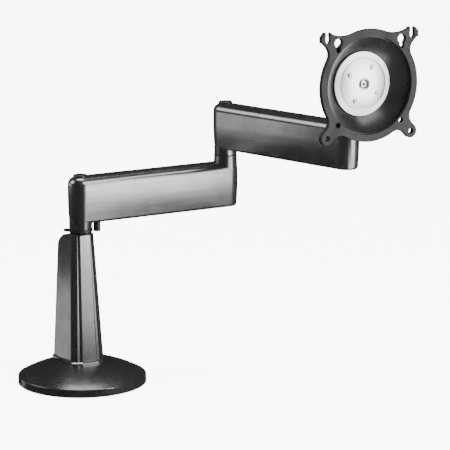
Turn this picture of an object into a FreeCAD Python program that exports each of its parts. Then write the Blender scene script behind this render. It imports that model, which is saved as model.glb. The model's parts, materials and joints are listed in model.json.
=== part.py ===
import FreeCAD, Part
import math
import os

# Desk-mounted monitor arm: round base, tapered column, two stacked box-section arms and a ball-type
# head with a slotted mounting plate. Units are millimetres and degrees.
# Frame: +Z up, origin at the centre of the base's underside. The mounting plate's normal is -Y.

V = FreeCAD.Vector

# ---------------------------------------------------------------- driving dimensions
# Base
BASE_RADIUS = 67.5
BASE_RIM_HEIGHT = 9.2
PAD_RADIUS = 65.5
PAD_THICKNESS = 0.6
BASE_PLATE_RADIUS = 63.0
BASE_PLATE_THICKNESS = 4.0
BASE_CROWN_RADIUS = 29.0
BASE_CROWN_Z = 23.8
DESK_BOLT_RADIUS = 4.25
ANCHOR_RADIUS = 9.0

# Column: half sections at the foot and at the top
FOOT_Z = 18.0
COLUMN_TOP_Z = 159.5
COVER_SPLIT_Y = 13.0
FOOT = {
    "w": 19.5, "side": 13.3, "ridge": (14.2, 16.6), "bevel": (10.0, 16.3), "face": (8.4, 18.2), "back": 33.0,
}
TOP = {"w": 13.2, "side": 3.4, "ridge": (8.6, 8.1), "bevel": (7.0, 8.1), "face": (5.8, 9.8), "back": 30.5}
HOOD_RADIUS = 26.0
HOOD_START_Y = 4.5
COVER_WALL = 2.2
COVER_SCREW_Z = (52.0, 128.0)
COLUMN_SCREW_XY = [(-14.5, -5.0), (14.5, -5.0), (-14.5, 8.0), (14.5, 8.0)]
POST_RADIUS = 8.6
SPIGOT_RADIUS = 6.5

# Stacked levels of the two pivots
INDEX_RING_HEIGHT = 3.0
STOP_PLATE_THICKNESS = 1.8
WASHER_THICKNESS = 0.7
HUB_DROP = 6.8
ARM_HEIGHT = 48.5
RISER_HEIGHT = 6.6
ELBOW_WASHER = 1.0
STOP_AZIMUTH = 150.0
PEG_REACH = 19.3
PEG_RADIUS = 3.8
PEG_DROP = 11.3

# Arms
ARM_LENGTH = 176.5
ARM_HALF_WIDTH = 13.0
ARM_BOTTOM_HALF_WIDTH = 12.1
ARM_1_AZIMUTH = 1.4
ARM_2_AZIMUTH = -75.3
CHANNEL_HALF_WIDTH = 9.5
CHANNEL_ROOF = 5.0

# Pivot hardware, the same in the shoulder and the elbow
JOURNAL_RADIUS = 7.0
RUNNING_CLEARANCE = 0.05
BUSH_RADIUS = 8.5
BUSH_TOP = 34.0
CAP_POCKET_RADIUS = 7.9
CAP_POCKET_DEPTH = 8.0
CAP_RADIUS = 7.5
CAP_RISE = 2.2
STUD_RADIUS = 4.2

# Head and mounting plate
PLATE_CENTRE_Z = 326.0
PLATE_FORWARD = 42.8
PLATE_THICKNESS = 4.8
PLATE_EDGE = 0.35
PLATE_RING_RADIUS = 57.2
OPENING_RADIUS = 49.8
BALL_AHEAD = 43.9
DISH_RADIUS = 69.0
DISH_THICKNESS = 2.5
DISH_HOLE_ANGLE = 17.0
VESA_75 = 75.0
VESA_100 = 100.0
VESA_HOLE_RADIUS = 2.6
SLOT_DEPTH = 2.6
EAR_RADIUS = 7.0
HEAD_POST_RADIUS = 7.5
HEAD_POST_FOOT = 5.6 - ARM_HEIGHT
CUP_INNER = DISH_RADIUS + DISH_THICKNESS + 1.4
CUP_OUTER = CUP_INNER + 4.0
RING_RADIUS = 33.0
DISC_RADIUS = 26.0
DISC_EDGE_Z = -13.7
DISC_CROWN_Z = -10.8
DISC_BACK_Z = -15.0
RIVET_CIRCLE = 19.0
RIVET_HEAD_RADIUS = 2.5
CENTRE_HEAD_RADIUS = 4.7
SLEEVE_RADIUS = 5.0

# ---------------------------------------------------------------- derived levels
SHOULDER_Z = COLUMN_TOP_Z + INDEX_RING_HEIGHT + STOP_PLATE_THICKNESS + WASHER_THICKNESS
ARM_1_Z = SHOULDER_Z + HUB_DROP
RISER_Z = ARM_1_Z + ARM_HEIGHT
ELBOW_Z = RISER_Z + RISER_HEIGHT + ELBOW_WASHER
ARM_2_Z = ELBOW_Z + HUB_DROP
ARM_2_TOP = ARM_2_Z + ARM_HEIGHT


def ahead(point, azimuth, distance):
    """Point reached from `point` by going `distance` along `azimuth`, in plan."""
    a = math.radians(azimuth)
    return (point[0] + distance * math.cos(a), point[1] + distance * math.sin(a))


ELBOW_XY = ahead((0.0, 0.0), ARM_1_AZIMUTH, ARM_LENGTH)
HEAD_XY = ahead(ELBOW_XY, ARM_2_AZIMUTH, ARM_LENGTH)


# ---------------------------------------------------------------- shape helpers
def xy(u, v):
    return V(u, v, 0)


def xz(u, v):
    return V(u, 0, v)


def yz(u, v):
    return V(0, u, v)


def outline(steps, lift):
    """Closed face from a start point and steps: (u, v) is a line, ((um, vm), (u, v)) an arc."""
    edges = []
    start = here = lift(*steps[0])
    for step in steps[1:]:
        if isinstance(step[0], tuple):
            end = lift(*step[1])
            edges.append(Part.Arc(here, lift(*step[0]), end).toShape())
        else:
            end = lift(*step)
            edges.append(Part.makeLine(here, end))
        here = end
    if (here - start).Length > 1e-6:
        edges.append(Part.makeLine(here, start))
    return Part.Face(Part.Wire(edges))


def lathe(steps, angle=360.0):
    """Solid of revolution about Z from a half profile in (r, z)."""
    return outline(steps, xz).revolve(V(0, 0, 0), V(0, 0, 1), angle)


def disc(r, z0, z1, at=(0.0, 0.0)):
    return Part.makeCylinder(r, z1 - z0, V(at[0], at[1], z0))


def ring(r_out, r_in, z0, z1, at=(0.0, 0.0)):
    return disc(r_out, z0, z1, at).cut(disc(r_in, z0 - 1, z1 + 1, at))


def hexagon(across_flats, z0, z1):
    r = across_flats / math.sqrt(3)
    corners = [(r * math.cos(math.radians(a)), r * math.sin(math.radians(a))) for a in range(0, 360, 60)]
    prism = outline(corners, xy).extrude(V(0, 0, z1 - z0))
    prism.translate(V(0, 0, z0))
    return prism


def block(x0, x1, y0, y1, z0, z1):
    return Part.makeBox(x1 - x0, y1 - y0, z1 - z0, V(x0, y0, z0))


def stadium(x0, x1, r, z0, z1):
    """Prism with round ends, centred on the X axis; x0 and x1 are the ends' centres."""
    steps = [(x0, r), ((x0 - r, 0), (x0, -r)), (x1, -r), ((x1 + r, 0), (x1, r))]
    prism = outline(steps, xy).extrude(V(0, 0, z1 - z0))
    prism.translate(V(0, 0, z0))
    return prism


def fuse(first, *others):
    return first.fuse(list(others)).removeSplitter()


def cut(first, *others):
    return first.cut(list(others))


def turned(shape, azimuth, at=(0.0, 0.0), z=0.0):
    """Copy of a shape turned about Z, then moved to `at` and `z`."""
    copy = shape.copy()
    copy.rotate(V(0, 0, 0), V(0, 0, 1), azimuth)
    copy.translate(V(at[0], at[1], z))
    return copy


def around(shape, count, first=0.0):
    """Compound of equal copies, evenly spaced about Z."""
    return Part.makeCompound([turned(shape, first + 360.0 * k / count) for k in range(count)])


def rounded_wire(corners, z):
    """Closed wire through (x, y, radius) corners; a radius of 0 leaves a corner sharp."""
    edges = []
    ends = []
    count = len(corners)
    for k, (x, y, r) in enumerate(corners):
        here = V(x, y, z)
        back = V(corners[k - 1][0], corners[k - 1][1], z) - here
        on = V(corners[(k + 1) % count][0], corners[(k + 1) % count][1], z) - here
        back.normalize()
        on.normalize()
        half = back.getAngle(on) / 2
        if r == 0:
            ends.append((here, None, here))
            continue
        bisector = back + on
        bisector.normalize()
        reach = r / math.tan(half)
        middle = here + bisector * (r / math.sin(half) - r)
        ends.append((here + back * reach, middle, here + on * reach))
    for k, (enter, middle, leave) in enumerate(ends):
        if middle is not None:
            edges.append(Part.Arc(enter, middle, leave).toShape())
        edges.append(Part.makeLine(leave, ends[(k + 1) % count][0]))
    return Part.Wire(edges)


def between(low, high, z):
    """Column section dimensions interpolated at height z, from the foot's and the top's."""
    t = (z - FOOT_Z) / (COLUMN_TOP_Z - FOOT_Z)
    mixed = {}
    for key, a in low.items():
        b = high[key]
        mixed[key] = tuple(p + (q - p) * t for p, q in zip(a, b)) if isinstance(a, tuple) else a + (b - a) * t
    return mixed


def column_loft(corners_of, z0, z1):
    """Tapered solid between the column sections at z0 and z1."""
    wires = [rounded_wire(corners_of(between(FOOT, TOP, z)), z) for z in (z0, z1)]
    return Part.makeLoft(wires, True, True)


def mirrored(half):
    """Full list of corners from the +X half, which runs from the front to the back."""
    return half + [(-x, y, r) for x, y, r in reversed(half)]


# ---------------------------------------------------------------- base
def base_cover():
    rim_corner = BASE_RADIUS - 0.8
    crown_middle = ((rim_corner + BASE_CROWN_RADIUS) / 2 + 0.6, (BASE_RIM_HEIGHT + BASE_CROWN_Z) / 2 + 1.3)
    shell = lathe([
        (0, PAD_THICKNESS),
        (BASE_RADIUS - 0.5, PAD_THICKNESS),
        (BASE_RADIUS, PAD_THICKNESS + 0.5),
        (BASE_RADIUS, BASE_RIM_HEIGHT - 0.8),
        ((BASE_RADIUS - 0.23, BASE_RIM_HEIGHT - 0.23), (rim_corner, BASE_RIM_HEIGHT)),
        (crown_middle, (BASE_CROWN_RADIUS, BASE_CROWN_Z)),
        (0, BASE_CROWN_Z + 0.6),
    ])
    floor = PAD_THICKNESS + BASE_PLATE_THICKNESS
    plate_recess = disc(BASE_PLATE_RADIUS + 0.2, 0, floor)
    hollow = lathe([(38, 0), (BASE_PLATE_RADIUS - 2, 0), (BASE_PLATE_RADIUS - 2, 6.4), (38, 14.5)])
    bosses = around(disc(5.0, floor, 12.0, (50, 0)), 3, 90)
    shell = fuse(cut(shell, plate_recess, hollow), bosses)
    pilots = around(disc(2.05, 0, 10.5, (50, 0)), 3, 90)
    pocket = column_loft(foot_ring_corners, FOOT_Z, BASE_CROWN_Z + 4)
    passages = [disc(2.6, 0, FOOT_Z + 1, at) for at in COLUMN_SCREW_XY]
    return cut(shell, pilots, pocket, disc(ANCHOR_RADIUS + 4.0, 0, FOOT_Z + 1), *passages)


def base_plate():
    top = PAD_THICKNESS + BASE_PLATE_THICKNESS
    plate = disc(BASE_PLATE_RADIUS, PAD_THICKNESS, top)
    column_holes = [screw_hole(2.6, 4.8, PAD_THICKNESS, at) for at in COLUMN_SCREW_XY]
    cover_holes = [screw_hole(2.1, 3.9, PAD_THICKNESS, ahead((0, 0), a, 50)) for a in (90, 210, 330)]
    return cut(plate, disc(ANCHOR_RADIUS + 0.1, 0, top + 1), *column_holes, *cover_holes)


def screw_hole(r, r_head, z, at):
    """Countersunk hole open downwards at height z."""
    sink = Part.makeCone(r_head, r, r_head - r, V(at[0], at[1], z))
    return disc(r, z - 1, z + 20, at).fuse(sink)


def countersunk_screw(r, r_head, z, length, at):
    """Countersunk screw pointing up, its head flush with z, with a hex recess."""
    screw = fuse(
        Part.makeCone(r_head - 0.1, r - 0.1, r_head - r, V(at[0], at[1], z + 0.05)),
        disc(r - 0.1, z + 0.1, z + length, at),
    )
    recess = hexagon(r * 1.3, z - 1, z + 1.8)
    recess.translate(V(at[0], at[1], 0))
    return cut(screw, recess)


def rubber_pad():
    pad = disc(PAD_RADIUS, 0, PAD_THICKNESS)
    holes = [disc(5.2, -1, 3, at) for at in COLUMN_SCREW_XY]
    holes += [disc(4.4, -1, 3, ahead((0, 0), a, 50)) for a in (90, 210, 330)]
    return cut(pad, disc(ANCHOR_RADIUS + 0.5, -1, 3), *holes)


def desk_anchor():
    """Threaded insert that takes the bolt from under the desk."""
    body = fuse(disc(ANCHOR_RADIUS, PAD_THICKNESS, FOOT_Z), disc(ANCHOR_RADIUS + 3.8, 4.7, 9.0))
    return cut(body, disc(DESK_BOLT_RADIUS, 0, FOOT_Z + 1))


# ---------------------------------------------------------------- column
def casting_corners(s):
    ridge_x, ridge_y = s["ridge"]
    return mirrored([
        (ridge_x - 1.0, 0.9 - ridge_y, 0),
        (ridge_x - 0.8, 0.3 - ridge_y, 0),
        (ridge_x, -ridge_y, 0),
        (s["w"], -s["side"], 2.5),
        (s["w"], COVER_SPLIT_Y, 0),
    ])


def panel_corners(s):
    bevel_x, bevel_y = s["bevel"]
    face_x, face_y = s["face"]
    back_y = 0.9 - s["ridge"][1]
    return mirrored([(face_x, -face_y, 0.8), (bevel_x, -bevel_y, 0.3), (bevel_x - 0.4, back_y, 0)])


def rear_corners(s):
    return mirrored([(s["w"], COVER_SPLIT_Y, 0), (s["w"], s["back"], 5.5)])


def channel_corners(s):
    return mirrored([
        (s["w"] - COVER_WALL, COVER_SPLIT_Y - 1, 0),
        (s["w"] - COVER_WALL, s["back"] - COVER_WALL, 3.5),
    ])


def foot_ring_corners(s, grow=1.6):
    return mirrored([
        (s["face"][0] + 0.7 * grow, -s["face"][1] - grow, 1.5),
        (s["ridge"][0] + 0.7 * grow, -s["ridge"][1] - grow, 1.0),
        (s["w"] + grow, -s["side"] - 0.7 * grow, 3.0),
        (s["w"] + grow, s["back"] + grow, 7.0),
    ])


def whole_column_corners(s):
    return mirrored([
        (s["face"][0] + 0.1, -s["face"][1] - 0.1, 0.7),
        (s["ridge"][0] + 0.1, -s["ridge"][1] - 0.1, 0),
        (s["w"] + 0.1, -s["side"] - 0.1, 2.5),
        (s["w"] + 0.1, s["back"] + 0.1, 5.5),
    ])


def hood_profile():
    """Side view of the column's rounded rear shoulder, as wide as the column."""
    centre_z = COLUMN_TOP_Z - HOOD_RADIUS
    back_y = HOOD_START_Y + HOOD_RADIUS
    c45 = HOOD_RADIUS * math.cos(math.radians(45))
    face = outline([
        (-40, 0),
        (-40, COLUMN_TOP_Z),
        (HOOD_START_Y, COLUMN_TOP_Z),
        ((HOOD_START_Y + c45, centre_z + c45), (back_y, centre_z)),
        (FOOT["back"] + 0.5, FOOT_Z + 10),
        (FOOT["back"] + 0.5, 0),
    ], yz)
    prism = face.extrude(V(80, 0, 0))
    prism.translate(V(-40, 0, 0))
    return prism


def column_casting():
    body = column_loft(casting_corners, FOOT_Z, COLUMN_TOP_Z).common(hood_profile())
    pilots = [disc(2.55, FOOT_Z - 1, FOOT_Z + 14, at) for at in COLUMN_SCREW_XY]
    grub = Part.makeCylinder(1.3, 8, V(-TOP["w"] - 1, 6.5, COLUMN_TOP_Z - 3.0), V(1, 0, 0))
    cover_screws = [Part.makeCylinder(1.3, 8, V(x, COVER_SPLIT_Y + 1, z), V(0, -1, 0))
                    for x in (-9, 9) for z in COVER_SCREW_Z]
    return cut(body, disc(POST_RADIUS, 0, COLUMN_TOP_Z + 1), grub, *pilots, *cover_screws)


def front_panel():
    panel = column_loft(panel_corners, FOOT_Z, COLUMN_TOP_Z - 0.4)
    return cut(panel, disc(POST_RADIUS, FOOT_Z - 1, COLUMN_TOP_Z + 1))


def rear_cable_cover():
    shell = column_loft(rear_corners, FOOT_Z, COLUMN_TOP_Z).common(hood_profile())
    channel = column_loft(channel_corners, FOOT_Z - 1, COLUMN_TOP_Z - HOOD_RADIUS)
    entry = Part.makeCylinder(4.5, 40, V(0, 20.5, COLUMN_TOP_Z - HOOD_RADIUS - 2), V(0, 0, 1))
    back_exit = Part.makeCylinder(6.5, 12, V(0, FOOT["back"] - 8, FOOT_Z + 20), V(0, 1, 0))
    shell = cut(shell, channel, entry, back_exit)
    bosses = []
    for x in (-9, 9):
        for z in COVER_SCREW_Z:
            s = between(FOOT, TOP, z)
            reach = s["back"] - COVER_SPLIT_Y - 1.0
            boss = Part.makeCylinder(2.6, reach, V(x, COVER_SPLIT_Y, z), V(0, 1, 0))
            bosses.append(boss.common(column_loft(rear_corners, FOOT_Z, COLUMN_TOP_Z)))
    shell = fuse(shell, *bosses)
    bores = [Part.makeCylinder(1.5, 30, V(x, COVER_SPLIT_Y - 1, z), V(0, 1, 0))
             for x in (-9, 9) for z in COVER_SCREW_Z]
    heads = [Part.makeCylinder(2.2, 30, V(x, COVER_SPLIT_Y + 9, z), V(0, 1, 0))
             for x in (-9, 9) for z in COVER_SCREW_Z]
    return cut(shell, *bores, *heads)


def cover_screw(x, z):
    head = Part.makeCylinder(2.1, 2.0, V(x, COVER_SPLIT_Y + 9, z), V(0, 1, 0))
    shank = Part.makeCylinder(1.25, 15, V(x, COVER_SPLIT_Y + 9.5, z), V(0, -1, 0))
    socket = Part.makeCylinder(0.9, 2, V(x, COVER_SPLIT_Y + 10, z), V(0, 1, 0))
    return cut(fuse(head, shank), socket)


def foot_ring():
    """Low bevelled collar that the column's foot stands in."""
    edge_z = BASE_CROWN_Z + 1.2
    top_z = BASE_CROWN_Z + 2.2
    foot, edge, top = [between(FOOT, TOP, z) for z in (FOOT_Z, edge_z, top_z)]
    outer = Part.makeLoft([
        rounded_wire(foot_ring_corners(foot, 1.5), FOOT_Z),
        rounded_wire(foot_ring_corners(edge, 1.5), edge_z),
    ], True, True)
    bevel = Part.makeLoft([
        rounded_wire(foot_ring_corners(edge, 1.5), edge_z),
        rounded_wire(foot_ring_corners(top, 0.5), top_z),
    ], True, True)
    return cut(fuse(outer, bevel), column_loft(whole_column_corners, FOOT_Z - 1, BASE_CROWN_Z + 6))


def column_post():
    return ring(POST_RADIUS, SPIGOT_RADIUS, FOOT_Z, COLUMN_TOP_Z)


def index_ring():
    """Castellated ring on the column's top; the stop plate can be set in any of its notches."""
    body = ring(11.6, JOURNAL_RADIUS + 0.2, COLUMN_TOP_Z, COLUMN_TOP_Z + INDEX_RING_HEIGHT)
    notch = block(8.6, 13, -1.9, 1.9, COLUMN_TOP_Z + 1.0, COLUMN_TOP_Z + INDEX_RING_HEIGHT + 1)
    return cut(body, around(notch, 10, 12))


def stop_plate():
    z = COLUMN_TOP_Z + INDEX_RING_HEIGHT
    plate = disc(12.8, z, z + STOP_PLATE_THICKNESS)
    tab = stadium(0, 13.2, 4.8, z, z + STOP_PLATE_THICKNESS)
    return cut(fuse(plate, turned(tab, STOP_AZIMUTH)), disc(JOURNAL_RADIUS + 0.2, z - 1, z + 5))


def pivot_shaft(z_low, z_seat, z_top):
    """Stepped shaft: a spigot up to z_seat, then the journal, with a threaded bore in its top."""
    body = fuse(disc(SPIGOT_RADIUS, z_low, z_seat), disc(JOURNAL_RADIUS, z_seat, z_top))
    return cut(body, disc(STUD_RADIUS + 0.05, z_top - 22, z_top + 1))


# ---------------------------------------------------------------- arms
def arm_half_profile():
    top_r = 8.5
    low_r = 3.0
    w = ARM_HALF_WIDTH
    b = ARM_BOTTOM_HALF_WIDTH
    h = ARM_HEIGHT
    c = math.cos(math.radians(45))
    return [
        (0, 0),
        (b - low_r, 0),
        ((b - low_r + low_r * c, low_r - low_r * c), (b, low_r)),
        (((b + w) / 2 + 0.45, (low_r + h - top_r) / 2), (w, h - top_r)),
        ((w - top_r + top_r * c, h - top_r + top_r * c), (w - top_r, h)),
        (0, h),
    ]


def arm_envelope():
    """Crowned box section with half-round ends; the two pivots are at x = 0 and x = ARM_LENGTH."""
    half = outline(arm_half_profile(), yz)
    side = half.extrude(V(ARM_LENGTH, 0, 0))
    other = side.mirror(V(0, 0, 0), V(0, 1, 0))
    near = outline(arm_half_profile(), yz).revolve(V(0, 0, 0), V(0, 0, 1), 180)
    far = near.copy()
    far.rotate(V(0, 0, 0), V(0, 0, 1), 180)
    far.translate(V(ARM_LENGTH, 0, 0))
    hub = lathe([(0, -HUB_DROP), (11.6, -HUB_DROP), (12.0, -HUB_DROP + 0.4), (12.2, 2.0), (0, 2.0)])
    return fuse(side, other, near, far, hub)


def arm_cavities(far_hole):
    """Channel, ribs, bush bore and cap pocket that both arms share."""
    channel = stadium(33.5, ARM_LENGTH - 28.0, CHANNEL_HALF_WIDTH, -1, ARM_HEIGHT - CHANNEL_ROOF)
    ribs = [block(x, x + 2.4, -12, 12, ARM_HEIGHT - 17, ARM_HEIGHT) for x in (68.0, 116.0)]
    channel = cut(channel, *ribs)
    bush_bore = disc(BUSH_RADIUS, -HUB_DROP - 1, BUSH_TOP)
    web_hole = disc(STUD_RADIUS + 1.2, 0, ARM_HEIGHT)
    pocket = disc(CAP_POCKET_RADIUS, ARM_HEIGHT - CAP_POCKET_DEPTH, ARM_HEIGHT + 1)
    return [channel, bush_bore, web_hole, pocket, far_hole]


def arm_1_casting():
    riser = Part.makeCone(12.9, 12.3, 12.0 + RISER_HEIGHT, V(ARM_LENGTH, 0, ARM_HEIGHT - 12.0))
    shaft_seat = disc(SPIGOT_RADIUS, 10, ARM_HEIGHT + RISER_HEIGHT + 1, (ARM_LENGTH, 0))
    peg_hole = disc(3.0, -1, 7, (PEG_REACH, 0))
    return cut(fuse(arm_envelope(), riser), *arm_cavities(shaft_seat), peg_hole)


def arm_2_casting():
    at = (ARM_LENGTH, 0)
    seat = disc(BUSH_RADIUS, 6, ARM_HEIGHT + 1, at).fuse(disc(10.2, -1, 6, at))
    return cut(arm_envelope(), *arm_cavities(seat))


def stop_peg():
    rounded_foot = lathe([
        (0, -PEG_DROP),
        (PEG_RADIUS - 0.6, -PEG_DROP),
        ((PEG_RADIUS - 0.18, -PEG_DROP + 0.18), (PEG_RADIUS, -PEG_DROP + 0.6)),
        (PEG_RADIUS, 0),
        (3.0, 0),
        (3.0, 6.5),
        (0, 6.5),
    ])
    rounded_foot.translate(V(PEG_REACH, 0, 0))
    return rounded_foot


def cable_clip(x):
    """Snap-in strap across the open underside of an arm, with two legs against the walls."""
    half = CHANNEL_HALF_WIDTH - 0.05
    strap = block(x - 5, x + 5, -half, half, 0.2, 2.2)
    legs = [block(x - 5, x + 5, s * half - (1.5 if s > 0 else 0), s * half + (0 if s > 0 else 1.5), 0.2, 12)
            for s in (-1, 1)]
    slot = block(x - 6, x + 6, -0.75, 0.75, 0, 3)
    return cut(fuse(strap, *legs), slot)


def cable_clips():
    """The two clips are each split at the middle, so that a cable can be pushed past them."""
    return Part.makeCompound([cable_clip(x) for x in (56.0, 132.0)])


def bush():
    return ring(BUSH_RADIUS, JOURNAL_RADIUS + RUNNING_CLEARANCE, -HUB_DROP, BUSH_TOP)


def pivot_bolt():
    """Socket-head bolt that clamps an arm's hub through its disc springs, with a domed head."""
    seat = ARM_HEIGHT - 4.0
    top = ARM_HEIGHT + CAP_RISE
    body = lathe([
        (0, BUSH_TOP - 20),
        (STUD_RADIUS, BUSH_TOP - 20),
        (STUD_RADIUS, seat),
        (CAP_RADIUS, seat),
        (CAP_RADIUS, top - 1.6),
        ((CAP_RADIUS - 0.5, top - 0.55), (CAP_RADIUS - 2.0, top)),
        (0, top + 0.3),
    ])
    return cut(body, hexagon(6.0, top - 3.2, top + 2))


def disc_springs():
    """Two cone-shaped springs, back to back, on a flat thrust washer."""
    low = ARM_HEIGHT - CAP_POCKET_DEPTH
    cup = lathe([(4.4, 0.9), (7.3, 0.0), (7.3, 0.8), (4.4, 1.7)])
    flipped = cup.mirror(V(0, 0, 0), V(0, 0, 1))
    flipped.translate(V(0, 0, 3.0))
    pair = [cup, flipped]
    for spring in pair:
        spring.translate(V(0, 0, low + 1.0))
    return Part.makeCompound(pair)


def thrust_washer():
    low = ARM_HEIGHT - CAP_POCKET_DEPTH
    return ring(7.5, 4.4, low, low + 0.9)


# ---------------------------------------------------------------- head
def ball_point(r_ball, angle):
    """(r, z) of a point on a sphere about the ball centre; z = 0 is the plate's front face."""
    a = math.radians(angle)
    return (r_ball * math.sin(a), BALL_AHEAD - r_ball * math.cos(a))


def ball_shell(r_in, r_out, a0, a1):
    """Shell between two spheres about the ball centre, from half angle a0 to a1."""
    mid = (a0 + a1) / 2
    return lathe([
        ball_point(r_in, a0),
        (ball_point(r_in, mid), ball_point(r_in, a1)),
        ball_point(r_out, a1),
        (ball_point(r_out, mid), ball_point(r_out, a0)),
    ])


def faced(shape):
    """Head-frame shape put in place: its +Z becomes -Y, at the head's height and position."""
    copy = shape.copy()
    copy.rotate(V(0, 0, 0), V(1, 0, 0), 90)
    copy.translate(V(HEAD_XY[0], HEAD_XY[1] - PLATE_FORWARD, PLATE_CENTRE_Z))
    return copy


def head_post():
    """Vertical post that turns in the upper arm's end; local z = 0 is the arm's top."""
    rise = PLATE_CENTRE_Z - ARM_2_TOP
    top = rise + 15.0
    post = lathe([
        (0, HEAD_POST_FOOT),
        (JOURNAL_RADIUS, HEAD_POST_FOOT),
        (JOURNAL_RADIUS, 1.2),
        (12.0, 1.2),
        (12.0, 4.4),
        (11.4, 5.0),
        (HEAD_POST_RADIUS, 7.0),
        (HEAD_POST_RADIUS, top - 3),
        ((HEAD_POST_RADIUS - 0.9, top - 0.9), (HEAD_POST_RADIUS - 3, top)),
        (0, top),
    ])
    cross_hole = Part.makeCylinder(STUD_RADIUS, 14, V(0, -HEAD_POST_RADIUS - 1, rise), V(0, 1, 0))
    end_hole = disc(2.1, 0 - ARM_HEIGHT, 20 - ARM_HEIGHT)
    return cut(post, cross_hole, end_hole)


def head_bush():
    """Flanged bush in the upper arm's far end; local z = 0 is the arm's top."""
    tube = ring(BUSH_RADIUS, JOURNAL_RADIUS + RUNNING_CLEARANCE, 6 - ARM_HEIGHT, 0)
    return fuse(tube, ring(11.8, JOURNAL_RADIUS + RUNNING_CLEARANCE, 0, 1.0))


def retaining_screw():
    """Washer-head screw that holds the head post from below."""
    low = HEAD_POST_FOOT
    body = fuse(disc(9.6, low - 1.5, low), disc(4.0, low - 4.0, low - 1.5), disc(2.0, low - 1, low + 12))
    return cut(body, hexagon(3.0, low - 5, low - 2))


def rear_cup():
    boss = disc(9.5, 2 - PLATE_FORWARD, 1 + BALL_AHEAD - CUP_INNER)
    hollow = Part.makeSphere(CUP_INNER, V(0, 0, BALL_AHEAD))
    shell = fuse(ball_shell(CUP_INNER, CUP_OUTER, 3.0, 26.5), cut(boss, hollow))
    post = Part.makeCylinder(HEAD_POST_RADIUS, 80, V(0, -50, -PLATE_FORWARD), V(0, 1, 0))
    return cut(shell, post, disc(STUD_RADIUS, -60, 10))


def rear_liner():
    return ball_shell(CUP_INNER - 1.1, CUP_INNER - 0.3, 14.2, 24.6)


def front_liner():
    return ball_shell(DISH_RADIUS - 0.7, DISH_RADIUS - 0.2, 17.2, 24.5)


def tilt_dish():
    back = -PLATE_THICKNESS
    flange_z = back - 1.8
    shell = ball_shell(DISH_RADIUS, DISH_RADIUS + DISH_THICKNESS, DISH_HOLE_ANGLE, 55.0)
    below_plate = disc(80, -40, back)
    flange = cut(disc(54.0, flange_z, back), Part.makeSphere(DISH_RADIUS, V(0, 0, BALL_AHEAD)))
    return fuse(shell.common(below_plate), flange)


def ear_outline():
    """Plan of the round plate with four diagonal ears and concave fillets between them."""
    fillet = 11.0
    ear = EAR_RADIUS
    reach = VESA_100 / math.sqrt(2)
    centre_u = math.sqrt((PLATE_RING_RADIUS + fillet) ** 2 - (ear + fillet) ** 2)
    scale = PLATE_RING_RADIUS / (PLATE_RING_RADIUS + fillet)
    on_ring = (centre_u * scale, (ear + fillet) * scale)
    toward_ear = math.radians(-90)
    toward_ring = math.atan2(-(ear + fillet), -centre_u)
    middle_angle = (toward_ear + toward_ring) / 2
    on_fillet = (centre_u + fillet * math.cos(middle_angle), ear + fillet + fillet * math.sin(middle_angle))
    steps = []
    for azimuth in (45, 135, 225, 315):
        a = math.radians(azimuth)

        def put(point, a=a):
            u, v = point
            return (u * math.cos(a) - v * math.sin(a), u * math.sin(a) + v * math.cos(a))

        enter = put((on_ring[0], -on_ring[1]))
        if steps:
            m = math.radians(azimuth - 45)
            steps.append(((PLATE_RING_RADIUS * math.cos(m), PLATE_RING_RADIUS * math.sin(m)), enter))
        else:
            steps.append(enter)
        steps.append((put((on_fillet[0], -on_fillet[1])), put((centre_u, -ear))))
        steps.append(put((reach, -ear)))
        steps.append((put((reach + ear, 0)), put((reach, ear))))
        steps.append(put((centre_u, ear)))
        steps.append((put(on_fillet), put(on_ring)))
    steps.append(((PLATE_RING_RADIUS, 0), steps[0]))
    return outline(steps, xy)


def slot_cutter(x, y, r, rise):
    """Upright slot with a round lower end at (x, y)."""
    low = -PLATE_THICKNESS - 1
    return disc(r, low, 1, (x, y)).fuse(block(x - r, x + r, y, y + rise, low, 1))


def serration(x, ys):
    """Small notches on the line x, at the heights ys."""
    low = -PLATE_THICKNESS - 1
    return [disc(0.75, low, 1, (x, y)) for y in ys]


def bevelled_sheet(face):
    """Plate-thick prism of a flat outline with a bevel round its front edge."""
    sheet = face.extrude(V(0, 0, PLATE_THICKNESS))
    sheet.translate(V(0, 0, -PLATE_THICKNESS))
    rim = [e for e in sheet.Edges if abs(e.BoundBox.ZMin) < 1e-6 and abs(e.BoundBox.ZMax) < 1e-6]
    return sheet.makeChamfer(PLATE_EDGE, rim)


def upper_fork(side):
    """Rounded outer prong, and pointed inner prong with the web round the keyhole, of an upper ear."""
    x = side * (VESA_100 / 2 + 5.1)
    outer = outline([
        (x - 2.5, 46.0),
        (x + 2.5, 46.0),
        (x + 2.5, 51.1),
        ((x, 53.6), (x - 2.5, 51.1)),
    ], xy)
    inner = outline([
        (side * 22.0, 53.1),
        ((side * 35.0, 52.0), (side * 44.0, 54.3)),
        (side * 45.8, 54.4),
        (side * 47.6, 51.4),
        (side * 48.5, 45.0),
        (side * 38.0, 38.0),
        (side * 22.0, 46.0),
    ], xy)
    return [bevelled_sheet(outer), bevelled_sheet(inner)]


def bevelled_hole(r, at=(0.0, 0.0)):
    """Cutter for a round hole through the plate with a bevelled front edge."""
    bevel = Part.makeCone(r, r + PLATE_EDGE + 1, PLATE_EDGE + 1, V(at[0], at[1], -PLATE_EDGE))
    return disc(r, -PLATE_THICKNESS - 1, 1, at).fuse(bevel)


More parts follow.
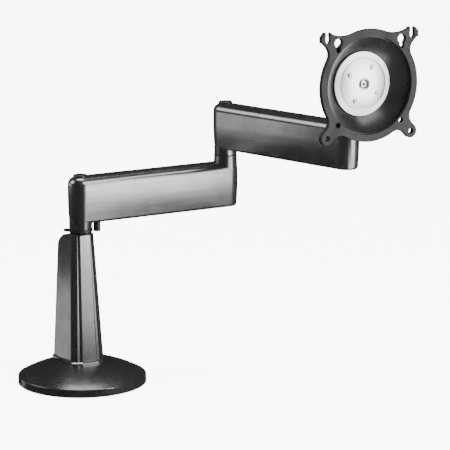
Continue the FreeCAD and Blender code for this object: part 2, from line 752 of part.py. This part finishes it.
def mounting_plate():
    plate = fuse(bevelled_sheet(ear_outline()), *upper_fork(1), *upper_fork(-1))
    cutters = [bevelled_hole(OPENING_RADIUS)]
    for side in (-1, 1):
        outer_x = side * VESA_100 / 2
        inner_x = side * VESA_75 / 2
        cutters.append(bevelled_hole(VESA_HOLE_RADIUS, (outer_x, -VESA_100 / 2)))
        cutters.append(bevelled_hole(VESA_HOLE_RADIUS, (inner_x, -VESA_75 / 2)))
        cutters.append(slot_cutter(outer_x, VESA_100 / 2 - SLOT_DEPTH, VESA_HOLE_RADIUS, 18))
        cutters.append(slot_cutter(inner_x, VESA_75 / 2, VESA_HOLE_RADIUS, 6))
        cutters.append(bevelled_hole(4.6, (inner_x, VESA_75 / 2 + 7.6)))
        cutters += serration(outer_x + side * VESA_HOLE_RADIUS, (48.4, 50.8))
        cutters += serration(outer_x - side * VESA_HOLE_RADIUS, (48.4, 50.8))
        cutters += serration(inner_x + side * VESA_HOLE_RADIUS, (38.6, 40.9))
    return cut(plate, *cutters)


def pressure_ring():
    seat = DISH_RADIUS - 1.0
    a0 = math.degrees(math.asin(21.0 / seat))
    a1 = math.degrees(math.asin(RING_RADIUS / seat))
    edge_z = ball_point(seat, a1)[1]
    return lathe([
        ball_point(seat, a0),
        (ball_point(seat, (a0 + a1) / 2), ball_point(seat, a1)),
        (RING_RADIUS, edge_z + 0.5),
        ((RING_RADIUS - 0.2, edge_z + 0.85), (RING_RADIUS - 0.6, edge_z + 1.05)),
        (DISC_RADIUS + 1.0, edge_z + 2.05),
        (DISC_RADIUS + 0.5, edge_z + 1.7),
        (DISC_RADIUS + 0.5, edge_z + 0.4),
        (21.0, edge_z + 0.4),
    ])


def disc_surface_z(r):
    """Height of the domed disc's front, a shallow parabola."""
    return DISC_CROWN_Z + (DISC_EDGE_Z - DISC_CROWN_Z) * (r / DISC_RADIUS) ** 2


RIVET_SEAT_Z = disc_surface_z(RIVET_CIRCLE) - 0.1


def domed_disc():
    inner = 6.6
    body = lathe([
        (DISC_RADIUS, DISC_EDGE_Z - 0.4),
        (DISC_RADIUS - 0.4, DISC_EDGE_Z),
        ((17.0, disc_surface_z(17.0)), (inner, disc_surface_z(inner))),
        (inner, DISC_BACK_Z),
        (STUD_RADIUS + 0.1, DISC_BACK_Z),
        (STUD_RADIUS + 0.1, DISC_BACK_Z - 1.6),
        (9.0, DISC_BACK_Z - 1.6),
        (9.0, DISC_BACK_Z + 1.4),
        (20.5, DISC_BACK_Z),
        (DISC_RADIUS, DISC_BACK_Z),
    ])
    holes = around(disc(1.4, DISC_BACK_Z - 3, 0, (RIVET_CIRCLE, 0)), 4, 59)
    seats = around(disc(RIVET_HEAD_RADIUS, RIVET_SEAT_Z, 0, (RIVET_CIRCLE, 0)), 4, 59)
    return cut(body, holes, seats)


def disc_rivets():
    """Four rivets with spherical heads on the domed disc, upset behind it."""
    seat = RIVET_SEAT_Z
    head_r = RIVET_HEAD_RADIUS
    rise = 1.4
    ball = (head_r ** 2 + rise ** 2) / (2 * rise)
    half = math.asin(head_r / ball) / 2
    middle = (ball * math.sin(half), seat + rise - ball + ball * math.cos(half))
    one = lathe([
        (0, seat - 4.1),
        (2.0, seat - 4.1),
        (2.0, seat - 3.0),
        (1.4, seat - 3.0),
        (1.4, seat),
        (head_r, seat),
        (middle, (0, seat + rise)),
    ])
    one.translate(V(RIVET_CIRCLE, 0, 0))
    return around(one, 4, 59)


def centre_bolt():
    """Bolt that clamps the ball head; its crowned head sits at the bottom of the disc's recess."""
    shoulder = DISC_BACK_Z + 1.8
    top = DISC_BACK_Z + 3.3
    body = lathe([
        (0, 2.2 - PLATE_FORWARD),
        (STUD_RADIUS, 2.2 - PLATE_FORWARD),
        (STUD_RADIUS, DISC_BACK_Z),
        (CENTRE_HEAD_RADIUS, DISC_BACK_Z),
        (CENTRE_HEAD_RADIUS, shoulder),
        ((CENTRE_HEAD_RADIUS - 0.9, top - 0.4), (CENTRE_HEAD_RADIUS - 2.2, top)),
        (0, top + 0.1),
    ])
    return cut(body, hexagon(3.0, DISC_BACK_Z + 1, 0))


def centre_sleeve():
    return ring(SLEEVE_RADIUS, STUD_RADIUS + 0.1, BALL_AHEAD - CUP_INNER + 0.3, DISC_BACK_Z - 5.2)


def head_springs():
    """Cone-shaped spring and flat washer between the centre sleeve and the domed disc."""
    low = DISC_BACK_Z - 5.1
    cup = lathe([(4.5, low), (8.4, low + 0.8), (8.4, low + 1.6), (4.5, low + 0.8)])
    flat = ring(8.4, 4.5, low + 2.3, low + 3.4)
    return Part.makeCompound([cup, flat])


# ---------------------------------------------------------------- assembly
def on_arm_1(shape):
    return turned(shape, ARM_1_AZIMUTH, (0.0, 0.0), ARM_1_Z)


def on_arm_2(shape):
    return turned(shape, ARM_2_AZIMUTH, ELBOW_XY, ARM_2_Z)


def at_head(shape):
    return turned(shape, 0.0, HEAD_XY, ARM_2_TOP)


def grouped(shapes):
    return Part.makeCompound(shapes)


def nodes():
    """Every separate piece of the arm, by name."""
    shoulder_top = ARM_1_Z + BUSH_TOP
    elbow_seat = RISER_Z + RISER_HEIGHT
    elbow_shaft = pivot_shaft(ARM_1_Z + 10.0, elbow_seat, ARM_2_Z + BUSH_TOP)
    column_screws = [countersunk_screw(2.6, 4.8, PAD_THICKNESS, 28, at) for at in COLUMN_SCREW_XY]
    cover_screws = [
        countersunk_screw(2.1, 3.9, PAD_THICKNESS, 9, ahead((0, 0), a, 50)) for a in (90, 210, 330)]
    grub = Part.makeCylinder(1.2, 3.0, V(0.9 - TOP["w"], 6.5, COLUMN_TOP_Z - 3.0), V(1, 0, 0))
    rear_screws = [cover_screw(x, z) for x in (-9, 9) for z in COVER_SCREW_Z]
    return {
        "rubber_pad": rubber_pad(),
        "base_plate": base_plate(),
        "base_cover": base_cover(),
        "base_cover_screws": grouped(cover_screws),
        "column_screws": grouped(column_screws),
        "desk_anchor": desk_anchor(),
        "foot_ring": foot_ring(),
        "column_casting": column_casting(),
        "column_front_panel": front_panel(),
        "rear_cable_cover": rear_cable_cover(),
        "rear_cover_screws": grouped(rear_screws),
        "column_post": column_post(),
        "index_ring": index_ring(),
        "index_grub_screw": grub,
        "stop_plate": stop_plate(),
        "shoulder_washer": ring(12.2, JOURNAL_RADIUS + 0.2, SHOULDER_Z - WASHER_THICKNESS, SHOULDER_Z),
        "shoulder_shaft": pivot_shaft(COLUMN_TOP_Z - 36, COLUMN_TOP_Z, shoulder_top),
        "shoulder_bolt": on_arm_1(pivot_bolt()),
        "shoulder_springs": on_arm_1(disc_springs()),
        "arm_1_casting": on_arm_1(arm_1_casting()),
        "shoulder_bush": on_arm_1(bush()),
        "shoulder_thrust_washer": on_arm_1(thrust_washer()),
        "stop_peg": on_arm_1(stop_peg()),
        "arm_1_cable_clips": on_arm_1(cable_clips()),
        "elbow_shaft": turned(elbow_shaft, 0.0, ELBOW_XY),
        "elbow_washer": turned(
            ring(12.2, JOURNAL_RADIUS + 0.2, elbow_seat, ELBOW_Z), 0.0, ELBOW_XY),
        "elbow_bolt": on_arm_2(pivot_bolt()),
        "elbow_springs": on_arm_2(disc_springs()),
        "arm_2_casting": on_arm_2(arm_2_casting()),
        "elbow_bush": on_arm_2(bush()),
        "elbow_thrust_washer": on_arm_2(thrust_washer()),
        "arm_2_cable_clips": on_arm_2(cable_clips()),
        "head_bush": at_head(head_bush()),
        "head_post": at_head(head_post()),
        "head_retaining_screw": at_head(retaining_screw()),
        "rear_cup": faced(rear_cup()),
        "rear_liner": faced(rear_liner()),
        "front_liner": faced(front_liner()),
        "tilt_dish": faced(tilt_dish()),
        "mounting_plate": faced(mounting_plate()),
        "pressure_ring": faced(pressure_ring()),
        "domed_disc": faced(domed_disc()),
        "disc_rivets": faced(disc_rivets()),
        "centre_bolt": faced(centre_bolt()),
        "centre_sleeve": faced(centre_sleeve()),
        "head_springs": faced(head_springs()),
    }


os.makedirs("parts", exist_ok=True)
for name, shape in nodes().items():
    if not shape.isValid():
        print("INVALID", name)
    print(f"{name:24s} solids {len(shape.Solids)}  volume {shape.Volume / 1000:8.3f} cm3")
    shape.exportStep(f"parts/{name}.step")
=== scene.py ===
import json
import math

import bpy
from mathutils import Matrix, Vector


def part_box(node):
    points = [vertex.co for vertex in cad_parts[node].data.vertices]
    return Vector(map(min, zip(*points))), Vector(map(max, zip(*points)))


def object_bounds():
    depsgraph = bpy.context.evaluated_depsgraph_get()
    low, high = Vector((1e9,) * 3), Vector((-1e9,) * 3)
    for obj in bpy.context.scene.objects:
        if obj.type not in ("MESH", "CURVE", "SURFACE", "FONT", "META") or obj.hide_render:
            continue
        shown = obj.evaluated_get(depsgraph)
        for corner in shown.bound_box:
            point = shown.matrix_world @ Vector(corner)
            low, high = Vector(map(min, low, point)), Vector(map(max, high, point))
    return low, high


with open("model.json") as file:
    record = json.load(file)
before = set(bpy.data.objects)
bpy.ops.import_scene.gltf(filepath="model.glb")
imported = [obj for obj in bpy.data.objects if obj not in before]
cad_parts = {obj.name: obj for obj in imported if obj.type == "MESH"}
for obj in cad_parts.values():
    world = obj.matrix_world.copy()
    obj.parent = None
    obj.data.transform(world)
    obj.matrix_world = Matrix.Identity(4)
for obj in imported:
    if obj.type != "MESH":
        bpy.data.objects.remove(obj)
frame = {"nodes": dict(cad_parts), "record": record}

CAD_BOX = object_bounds()

# ---------------------------------------------------------------- view and levels
CAMERA_AT = Vector((-1.1413, -2.2957, 0.695))
CAMERA_HEADING = 60.2
CAMERA_PITCH = -11.62
CAMERA_LENS = 200.5
SENSOR_WIDTH = 36.0
CLIP = (0.05, 60.0)
STAGE_HALF_SIZE = 14.0
WHITE_LEVEL = 8.0
BAND_LEVEL = 0.16
AMBIENT_LEVEL = 0.04
ARM_1_AZIMUTH = 1.4
ARM_2_AZIMUTH = -75.3

# Small panels, each mirrored to the camera by one flat side: name, node, point in the node's box as
# fractions along X, Y and Z, the side's azimuth and elevation, distance, size, power.
PANELS = [
    ("arm_1_panel", "arm_1_casting", (0.40, 0.0, 0.62), (ARM_1_AZIMUTH - 90.0, 1.0), 0.42, (0.18, 0.06), 0.22),
    ("arm_2_panel", "arm_2_casting", (0.30, 0.72, 0.70), (ARM_2_AZIMUTH - 90.0, 1.0), 0.42, (0.16, 0.06), 0.08),
    ("column_panel", "column_front_panel", (0.5, 0.3, 0.75), (-90.0, 4.0), 0.50, (0.14, 0.18), 0.26),
    ("flank_panel", "column_casting", (0.0, 0.6, 0.25), (180.0, 2.5), 0.50, (0.10, 0.14), 0.08),
    ("disc_panel", "domed_disc", (0.4, 0.5, 0.7), (-90.0, 0.0), 0.60, (0.40, 0.40), 3.4),
]
# Large softboxes round the object's middle: name, heading, elevation, distance, size, power.
SOFTBOXES = [
    ("key", -62.0, 34.0, 1.9, (1.3, 1.0), 30.0),
    ("fill", 150.0, 30.0, 2.1, (1.2, 1.0), 20.0),
    ("overhead", 60.0, 84.0, 2.6, (1.6, 1.0), 55.0),
]


def toward(heading, elevation):
    """Unit vector for a heading from +X and an elevation, in degrees."""
    a = math.radians(heading)
    e = math.radians(elevation)
    return Vector((math.cos(a) * math.cos(e), math.sin(a) * math.cos(e), math.sin(e)))


def make_camera():
    data = bpy.data.cameras.new("camera")
    data.lens = CAMERA_LENS
    data.sensor_width = SENSOR_WIDTH
    data.clip_start, data.clip_end = CLIP
    camera = bpy.data.objects.new("camera", data)
    camera.location = CAMERA_AT
    camera.rotation_euler = toward(CAMERA_HEADING, CAMERA_PITCH).to_track_quat("-Z", "Y").to_euler()
    bpy.context.scene.collection.objects.link(camera)
    bpy.context.scene.camera = camera


# ---------------------------------------------------------------- node helpers
class Tree:
    """Short calls for building one node tree."""

    def __init__(self, tree):
        self.tree = tree
        tree.nodes.clear()

    def add(self, kind, **settings):
        node = self.tree.nodes.new(kind)
        for key, value in settings.items():
            setattr(node, key, value)
        return node

    def join(self, source, target):
        self.tree.links.new(source, target)

    def feed(self, socket, value):
        """Link a socket, or set a constant."""
        if isinstance(value, bpy.types.NodeSocket):
            self.join(value, socket)
        else:
            socket.default_value = value

    def place(self):
        return self.add("ShaderNodeTexCoord").outputs["Object"]

    def math(self, operation, a, b=0.0):
        node = self.add("ShaderNodeMath", operation=operation)
        self.feed(node.inputs[0], a)
        self.feed(node.inputs[1], b)
        return node.outputs[0]

    def span(self, value, low, high, to_low=0.0, to_high=1.0):
        """Smooth ramp of a value from one range to another."""
        node = self.add("ShaderNodeMapRange", interpolation_type="SMOOTHSTEP")
        self.feed(node.inputs["Value"], value)
        node.inputs["From Min"].default_value = low
        node.inputs["From Max"].default_value = high
        node.inputs["To Min"].default_value = to_low
        node.inputs["To Max"].default_value = to_high
        return node.outputs["Result"]

    def noise(self, vector, scale, detail=2.0, rough=0.5):
        node = self.add("ShaderNodeTexNoise")
        self.join(vector, node.inputs["Vector"])
        node.inputs["Scale"].default_value = scale
        node.inputs["Detail"].default_value = detail
        node.inputs["Roughness"].default_value = rough
        return node.outputs["Fac"]

    def stretched(self, vector, azimuth, factors):
        """Coordinates turned so that X runs along an azimuth, then scaled along each axis."""
        turn = self.add("ShaderNodeMapping", vector_type="POINT")
        self.join(vector, turn.inputs["Vector"])
        turn.inputs["Rotation"].default_value = (0.0, 0.0, math.radians(-azimuth))
        scale = self.add("ShaderNodeMapping", vector_type="POINT")
        self.join(turn.outputs["Vector"], scale.inputs["Vector"])
        scale.inputs["Scale"].default_value = factors
        return scale.outputs["Vector"]

    def blend(self, factor, a, b):
        node = self.add("ShaderNodeMix", data_type="RGBA")
        self.feed(node.inputs["Factor"], factor)
        self.feed(node.inputs["A"], a)
        self.feed(node.inputs["B"], b)
        return node.outputs["Result"]

    def bump(self, height, strength, distance, normal=None):
        node = self.add("ShaderNodeBump")
        node.inputs["Strength"].default_value = strength
        node.inputs["Distance"].default_value = distance
        self.join(height, node.inputs["Height"])
        if normal is not None:
            self.join(normal, node.inputs["Normal"])
        return node.outputs["Normal"]


def shade(value, gain=1.0):
    """Grey, or an (r, g, b), as an opaque colour."""
    rgb = (value,) * 3 if isinstance(value, (int, float)) else value
    return (*[gain * channel for channel in rgb], 1.0)


def new_material(name):
    material = bpy.data.materials.new(name)
    material.use_nodes = True
    tree = Tree(material.node_tree)
    surface = tree.add("ShaderNodeBsdfPrincipled")
    output = tree.add("ShaderNodeOutputMaterial")
    tree.join(surface.outputs["BSDF"], output.inputs["Surface"])
    return material, tree, surface, output


def finish_material(
    name, dark, light, rough, metallic=0.0, coat=0.0, coat_rough=0.1, grain=900.0, grain_depth=0.00002,
    grain_strength=0.3, wave=60.0, wave_depth=0.0, blotch=25.0, flake=0.0, streak=None, streak_depth=0.0,
    streak_shade=0.0,
):
    """Painted, plated or moulded finish: blotched colour, uneven roughness, fine grain, and a slow waviness."""
    material, tree, surface, _ = new_material(name)
    place = tree.place()
    slow = tree.noise(place, blotch, 4.0, 0.6)
    fine = tree.noise(place, grain, 3.0, 0.6)
    mixed = tree.blend(tree.span(slow, 0.3, 0.7), shade(dark), shade(light))
    if flake:
        sparkle = tree.span(tree.noise(place, 5200.0, 1.0), 0.60, 0.78, 0.0, flake)
        mixed = tree.blend(sparkle, mixed, shade(0.75))
    streaks = None
    if streak:
        azimuth, factors = streak
        streaks = tree.noise(tree.stretched(place, azimuth, factors), 1.0, 4.0, 0.62)
        mixed = tree.blend(tree.span(streaks, 0.35, 0.65, 0.0, streak_shade), mixed, shade(light, 2.0))
    tree.join(mixed, surface.inputs["Base Color"])
    smudge = tree.span(tree.noise(place, blotch * 1.7, 5.0, 0.65), 0.35, 0.75, rough * 0.92, rough * 1.15)
    tree.join(smudge, surface.inputs["Roughness"])
    surface.inputs["Metallic"].default_value = metallic
    surface.inputs["Coat Weight"].default_value = coat
    surface.inputs["Coat Roughness"].default_value = coat_rough
    normal = tree.bump(fine, grain_strength, grain_depth)
    if wave_depth:
        normal = tree.bump(tree.noise(place, wave, 2.0), 1.0, wave_depth, normal)
    if streaks is not None:
        normal = tree.bump(streaks, 1.0, streak_depth, normal)
    tree.join(normal, surface.inputs["Normal"])
    return material


# ---------------------------------------------------------------- materials
def graphite(name, streak=None):
    """Dark metallic paint on the castings, with faint streaks if a direction is given."""
    return finish_material(
        name, (0.150, 0.148, 0.152), (0.176, 0.173, 0.177), 0.24, metallic=0.9, coat=0.12, coat_rough=0.06,
        grain=1500.0, grain_depth=0.000002, grain_strength=0.08, wave=30.0, wave_depth=0.000003, streak=streak,
        streak_depth=0.000007, streak_shade=0.12)


def make_materials():
    """Finishes by name: the record's slots, the arms' streaked paints and the base's plain one."""
    along = (9.0, 9.0, 170.0)
    upright = (130.0, 130.0, 8.0)
    return {
        "graphite_paint": graphite("graphite_paint", (0.0, upright)),
        "base_paint": graphite("base_paint"),
        "arm_1_paint": graphite("arm_1_paint", (ARM_1_AZIMUTH, along)),
        "arm_2_paint": graphite("arm_2_paint", (ARM_2_AZIMUTH, along)),
        "gloss_black": finish_material(
            "gloss_black", 0.022, 0.032, 0.26, metallic=0.3, coat=0.1, coat_rough=0.20, grain=1300.0,
            grain_depth=0.000003, wave=50.0, wave_depth=0.00001),
        "plate_coat": finish_material(
            "plate_coat", (0.006, 0.006, 0.007), (0.009, 0.009, 0.010), 0.60, metallic=0.0, grain=1900.0,
            grain_depth=0.00003, grain_strength=0.5),
        "silver_paint": finish_material(
            "silver_paint", (0.84, 0.84, 0.85), (0.90, 0.90, 0.91), 0.30, metallic=0.8, coat=0.15,
            coat_rough=0.1, grain=2200.0, grain_depth=0.00001, flake=0.1),
        "zinc_steel": finish_material(
            "zinc_steel", (0.50, 0.50, 0.51), (0.62, 0.62, 0.63), 0.28, metallic=1.0, grain=1400.0,
            grain_depth=0.00001),
        "black_steel": finish_material(
            "black_steel", 0.035, 0.055, 0.33, metallic=0.6, grain=1600.0, grain_depth=0.000015),
        "black_nylon": finish_material(
            "black_nylon", 0.016, 0.024, 0.5, grain=1200.0, grain_depth=0.00002),
        "rubber": finish_material(
            "rubber", 0.014, 0.02, 0.75, grain=800.0, grain_depth=0.00004, grain_strength=0.6),
    }


# Pieces whose finish differs from their slot's in the record.
OWN_FINISH = {
    "arm_1_casting": "arm_1_paint", "arm_2_casting": "arm_2_paint", "base_cover": "base_paint",
    "foot_ring": "base_paint", "index_ring": "gloss_black", "stop_plate": "black_steel",
}


def dress_nodes(materials):
    """Every carried-over node takes the finish of its slot in the record, or its own one."""
    slots = {entry["node"]: entry["material_slot"] for entry in frame["record"]["subparts"]}
    for name, node in frame["nodes"].items():
        node.data.materials.clear()
        node.data.materials.append(materials[OWN_FINISH.get(name, slots[name])])


# ---------------------------------------------------------------- stage and light
def lit_when_seen(tree, strength):
    """Switch for camera rays, and the glow that makes the stage read as white to them alone."""
    seen = tree.add("ShaderNodeLightPath").outputs["Is Camera Ray"]
    glow = tree.add("ShaderNodeEmission")
    glow.inputs["Strength"].default_value = strength
    return seen, glow.outputs[0]


def make_floor():
    mesh = bpy.data.meshes.new("floor")
    s = STAGE_HALF_SIZE
    mesh.from_pydata([(-s, -s, 0), (s, -s, 0), (s, s, 0), (-s, s, 0)], [], [(0, 1, 2, 3)])
    floor = bpy.data.objects.new("floor", mesh)
    bpy.context.scene.collection.objects.link(floor)
    material, tree, surface, output = new_material("floor")
    speckle = tree.span(tree.noise(tree.place(), 9.0, 3.0), 0.3, 0.7)
    tree.join(tree.blend(speckle, shade(0.90), shade(0.93)), surface.inputs["Base Color"])
    surface.inputs["Roughness"].default_value = 0.9
    seen, glow = lit_when_seen(tree, WHITE_LEVEL)
    pick = tree.add("ShaderNodeMixShader")
    tree.join(seen, pick.inputs[0])
    tree.join(glow, pick.inputs[2])
    both = tree.add("ShaderNodeAddShader")
    tree.join(surface.outputs["BSDF"], both.inputs[0])
    tree.join(pick.outputs[0], both.inputs[1])
    tree.join(both.outputs[0], output.inputs["Surface"])
    mesh.materials.append(material)
    floor.visible_glossy = False


def make_world():
    """Dark studio, with a faint band round the horizon to the left and right of the main view."""
    world = bpy.data.worlds.new("studio")
    world.use_nodes = True
    bpy.context.scene.world = world
    tree = Tree(world.node_tree)
    direction = tree.add("ShaderNodeTexCoord").outputs["Generated"]
    split = tree.add("ShaderNodeSeparateXYZ")
    tree.join(direction, split.inputs[0])
    height = split.outputs["Z"]
    rise = tree.span(height, -0.31, -0.07)
    fall = tree.span(height, 0.02, 0.16, 1.0, 0.0)
    facing = tree.add("ShaderNodeVectorMath", operation="DOT_PRODUCT")
    tree.join(direction, facing.inputs[0])
    facing.inputs[1].default_value = toward(CAMERA_HEADING, 0.0)
    sides = tree.span(tree.math("ABSOLUTE", facing.outputs["Value"]), 0.60, 0.86, 1.0, 0.03)
    band = tree.math("MULTIPLY", tree.math("MULTIPLY", rise, fall), sides)
    level = tree.math("ADD", tree.math("MULTIPLY", band, BAND_LEVEL), AMBIENT_LEVEL)
    room = tree.add("ShaderNodeBackground")
    tree.join(level, room.inputs["Strength"])
    seen, glow = lit_when_seen(tree, WHITE_LEVEL)
    pick = tree.add("ShaderNodeMixShader")
    tree.join(seen, pick.inputs[0])
    tree.join(room.outputs[0], pick.inputs[1])
    tree.join(glow, pick.inputs[2])
    tree.join(pick.outputs[0], tree.add("ShaderNodeOutputWorld").inputs[0])


def add_area_light(name, location, away, size, power):
    """Rectangular lamp at a place, facing back along the direction it stands in."""
    data = bpy.data.lights.new(name, "AREA")
    data.shape = "RECTANGLE"
    data.size, data.size_y = size
    data.energy = power
    lamp = bpy.data.objects.new(name, data)
    lamp.location = location
    lamp.rotation_euler = away.to_track_quat("Z", "Y").to_euler()
    bpy.context.scene.collection.objects.link(lamp)
    return lamp


def point_in_box(node, fractions):
    """Point in a node's box, by fractions along X, Y and Z."""
    low, high = (Vector(corner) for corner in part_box(node))
    return Vector([l + (h - l) * f for l, h, f in zip(low, high, fractions)])


def make_lights():
    middle = (CAD_BOX[0] + CAD_BOX[1]) / 2
    for name, node, fractions, facing, distance, size, power in PANELS:
        seen_at = point_in_box(node, fractions)
        mirrored = (seen_at - CAMERA_AT).normalized().reflect(toward(*facing))
        lamp = add_area_light(name, seen_at + mirrored * distance, mirrored, size, power)
        lamp.visible_camera = False
    for name, heading, elevation, distance, size, power in SOFTBOXES:
        away = toward(heading, elevation)
        add_area_light(name, middle + away * distance, away, size, power)


make_camera()
make_world()
make_floor()
make_lights()
dress_nodes(make_materials())
